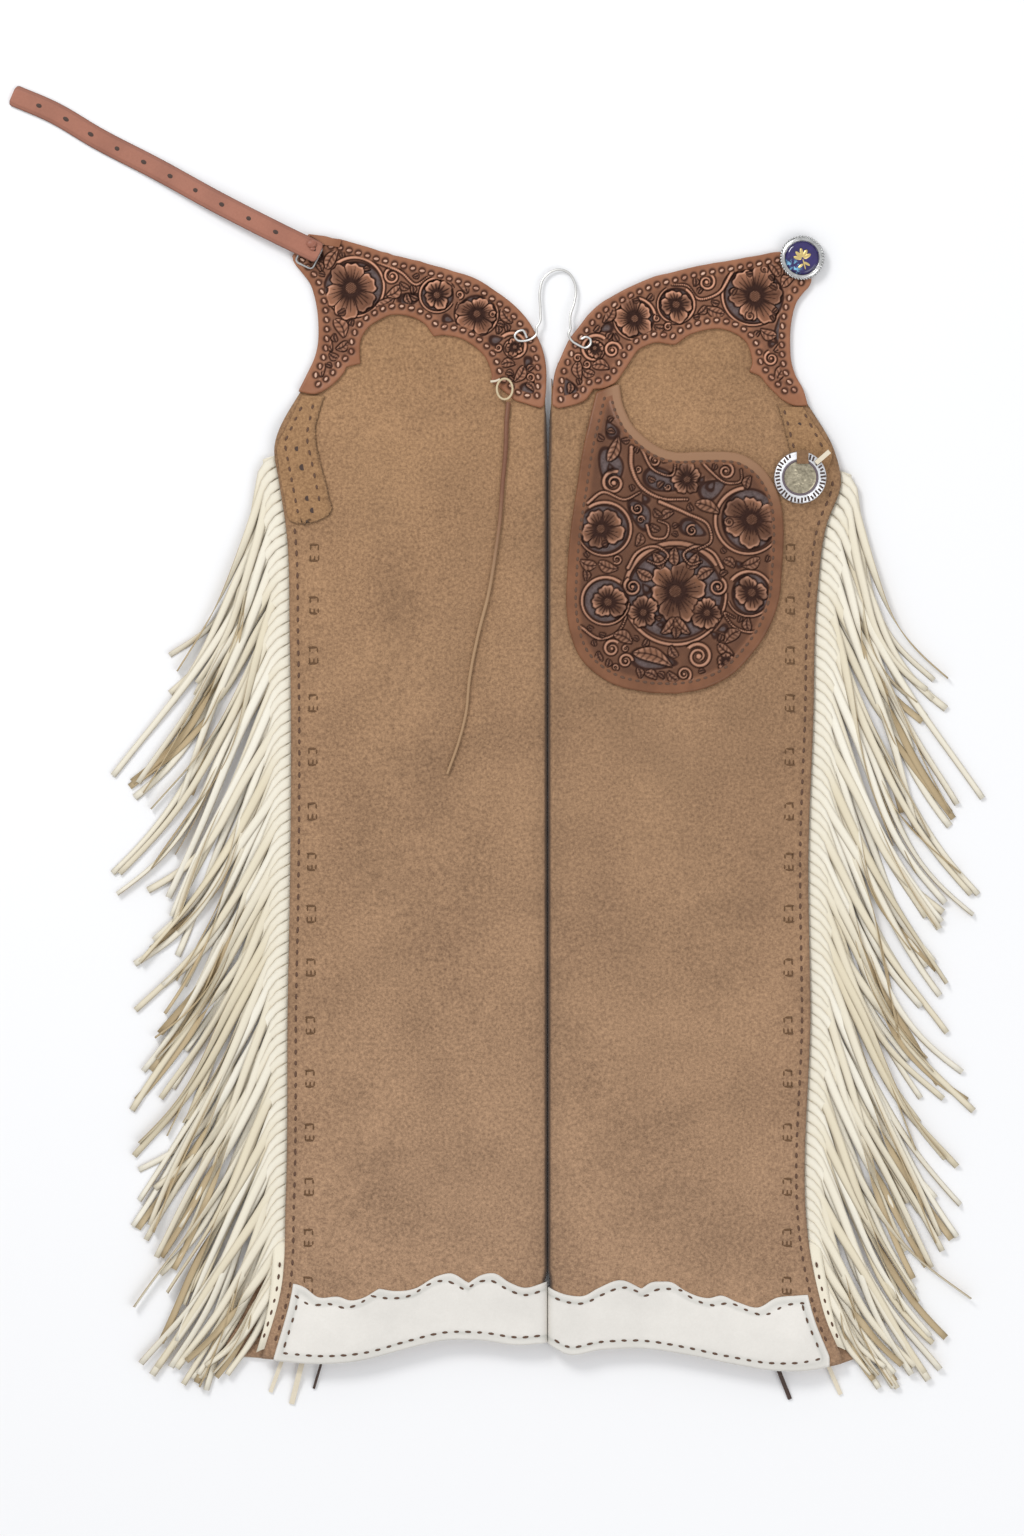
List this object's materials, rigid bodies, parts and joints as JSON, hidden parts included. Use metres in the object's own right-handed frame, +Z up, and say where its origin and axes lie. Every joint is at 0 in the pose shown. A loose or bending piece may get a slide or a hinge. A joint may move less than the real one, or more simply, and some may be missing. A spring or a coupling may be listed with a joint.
{
  "type": "leather chaps",
  "caption": "Fringed suede leather chaps laid flat, with tooled yokes, a tooled pocket, pale scalloped cuffs, a waist strap and conchos.",
  "frame": {"origin": "centre of the whole outline, on the surface that the chaps lie on", "axes": "+X to the viewer's right, +Y towards the waist, +Z up off the surface"},
  "size_m": [0.8537, 1.1216, 0.0199],
  "materials": {
    "suede": "tan roughout suede, napped and matte",
    "tooled_leather": "tooled brown leather, satin",
    "cuff_leather": "off-white leather, smooth",
    "fringe_leather": "cream suede, matte",
    "strap_leather": "reddish tan leather, worn satin",
    "tab_leather": "tan suede with frayed edges",
    "lace_leather": "brown thong leather",
    "pale_thong": "cream thong leather",
    "dark_thong": "dark thong leather",
    "silver": "bright nickel silver, lightly worn",
    "pewter": "worn coin metal",
    "enamel": "violet blue enamel, gloss"
  },
  "bodies": {
    "root": {"leg_left": "suede", "leg_right": "suede", "cuff_left": "cuff_leather", "cuff_right": "cuff_leather", "yoke_left": "tooled_leather", "yoke_right": "tooled_leather", "pocket": "tooled_leather", "fringe_left": "fringe_leather", "fringe_right": "fringe_leather", "side_tab_left": "tab_leather", "side_tab_right": "tab_leather", "waist_strap": "strap_leather", "strap_ring": "silver", "strap_keeper": "lace_leather", "corner_tab": "tab_leather", "wire_hook": "silver", "concho_rim": "silver", "concho_enamel": "enamel", "slotted_ring": "silver", "slotted_coin": "pewter", "concho_strip": "lace_leather", "concho_lace_end": "pale_thong", "front_lace": "lace_leather", "lace_ring": "pale_thong", "hem_thong_1": "pale_thong", "hem_thong_2": "pale_thong", "hem_thong_3": "dark_thong", "hem_thong_4": "dark_thong", "hem_thong_5": "pale_thong"}
  },
  "joints": []
}
